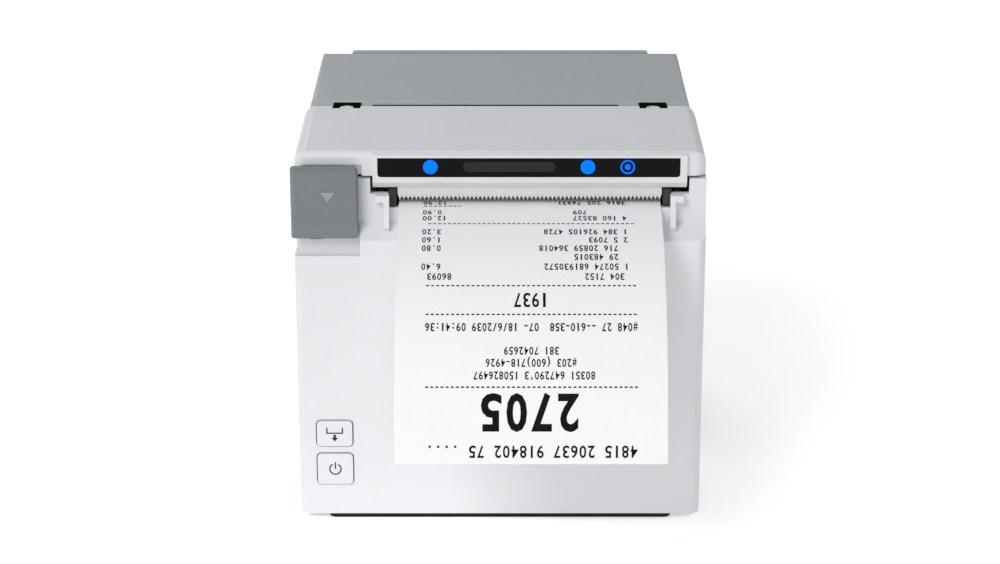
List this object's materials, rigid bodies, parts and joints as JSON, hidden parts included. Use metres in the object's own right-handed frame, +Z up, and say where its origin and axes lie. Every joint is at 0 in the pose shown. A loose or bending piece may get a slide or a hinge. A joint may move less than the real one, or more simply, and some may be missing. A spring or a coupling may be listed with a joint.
{
  "type": "kiosk receipt printer",
  "caption": "Box-shaped front-exit receipt printer with a hinged top cover, push-down lever, two buttons, indicator bezel, drop-in paper roll, geared platen, print head and cutter.",
  "frame": {"origin": "middle of the base plate's underside, on the standing surface", "axes": "+Z up, -Y to the front where the receipt comes out, +X to the right seen from the front"},
  "size_m": [0.1258, 0.1826, 0.1185],
  "materials": {
    "white_plastic": "fine satin moulding texture",
    "grey_plastic": "fine satin moulding texture",
    "lever_plastic": "satin",
    "dark_plastic": "satin",
    "black_window": "polished",
    "blue_light": "lit from behind",
    "light_plastic": "as moulded",
    "steel": "plain, lightly oiled",
    "aluminium": "bare",
    "ceramic": "glazed",
    "platen_rubber": "ground",
    "paper": "smooth thermal paper",
    "core_board": "brown cardboard",
    "circuit_board": "green solder mask"
  },
  "bodies": {
    "case": {"front_case": "white_plastic", "rear_case": "grey_plastic", "rear_plate": "grey_plastic", "base_plate": "dark_plastic", "hinge_pins": "steel", "lever_pin": "steel", "lever_spring": "steel", "button_board": "circuit_board", "button_switches": "dark_plastic", "chassis_plates": "steel", "platen_bearings": "light_plastic", "idler_axle": "steel", "feed_motor": "steel", "cutter_frame": "dark_plastic", "cutter_motor": "steel", "paper_bucket": "dark_plastic", "paper_web": "paper", "receipt": "paper", "main_board": "circuit_board", "power_inlet": "dark_plastic", "data_port": "steel", "network_port": "steel", "drawer_port": "dark_plastic", "paper_sensor": "dark_plastic"},
    "cover": {"top_cover": "white_plastic", "rear_cover": "grey_plastic", "cover_screws": "steel", "indicator_window": "black_window", "indicator_lamps": "blue_light", "sensor_window": "black_window", "status_ring": "blue_light", "indicator_board": "circuit_board", "tear_bar": "light_plastic", "latch_strike": "steel", "print_head": "ceramic", "heat_sink": "aluminium", "head_springs": "steel", "head_bracket": "steel", "fixed_blade": "steel"},
    "lever": {"open_lever": "lever_plastic", "lever_arm": "steel"},
    "feed_key": {"feed_button": "white_plastic"},
    "power_key": {"power_button": "white_plastic"},
    "roll": {"paper_roll": "paper", "roll_core": "core_board"},
    "platen": {"platen_roller": "platen_rubber", "platen_shaft": "steel", "platen_gear": "light_plastic"},
    "idler": {"idler_gear": "light_plastic"},
    "pinion": {"motor_pinion": "light_plastic"},
    "cutter": {"cutter_blade": "steel"},
    "cutter_drive": {"cutter_pinion": "light_plastic"}
  },
  "joints": [
    {"name": "cover_hinge", "type": "hinge", "parent": "case", "child": "cover", "pos_m": [0, 0.058, 0.1125], "axis": [-1, 0, 0], "range_deg": [0, 80]},
    {"name": "lever_swing", "type": "hinge", "parent": "case", "child": "lever", "pos_m": [-0.056, -0.012, 0.1], "axis": [1, 0, 0], "range_deg": [0, 5.5], "stiffness_Nm_per_rad": 0.5, "springref_deg": -5.73},
    {"name": "feed_press", "type": "slide", "parent": "case", "child": "feed_key", "axis": [0, 1, 0], "range_m": [0, 0.001], "stiffness_N_per_m": 800, "springref_m": -0.0005},
    {"name": "power_press", "type": "slide", "parent": "case", "child": "power_key", "axis": [0, 1, 0], "range_m": [0, 0.001], "stiffness_N_per_m": 800, "springref_m": -0.0005},
    {"name": "roll_spin", "type": "hinge", "parent": "case", "child": "roll", "pos_m": [0, 0.01463, 0.0523], "axis": [1, 0, 0], "continuous": true},
    {"name": "platen_spin", "type": "hinge", "parent": "case", "child": "platen", "pos_m": [0, -0.038, 0.0976], "axis": [1, 0, 0], "continuous": true},
    {"name": "idler_spin", "type": "hinge", "parent": "case", "child": "idler", "pos_m": [0, -0.03234, 0.06712], "axis": [1, 0, 0], "continuous": true},
    {"name": "pinion_spin", "type": "hinge", "parent": "case", "child": "pinion", "pos_m": [0, -0.04363, 0.0415], "axis": [1, 0, 0], "continuous": true},
    {"name": "cutter_slide", "type": "slide", "parent": "case", "child": "cutter", "axis": [0, 0, 1], "range_m": [0, 0.0045]},
    {"name": "cutter_pinion_spin", "type": "hinge", "parent": "case", "child": "cutter_drive", "pos_m": [-0.0152, -0.048, 0.084], "axis": [0, 1, 0], "range_deg": [0, 54]}
  ],
  "couplings": [
    {"joint": "platen_spin", "follows": "roll_spin", "ratio": 6.7368},
    {"joint": "idler_spin", "follows": "roll_spin", "ratio": -2.756},
    {"joint": "pinion_spin", "follows": "roll_spin", "ratio": 10.105},
    {"joint": "cutter_pinion_spin", "follows": "cutter_slide", "rad_per_m": 208.33}
  ]
}
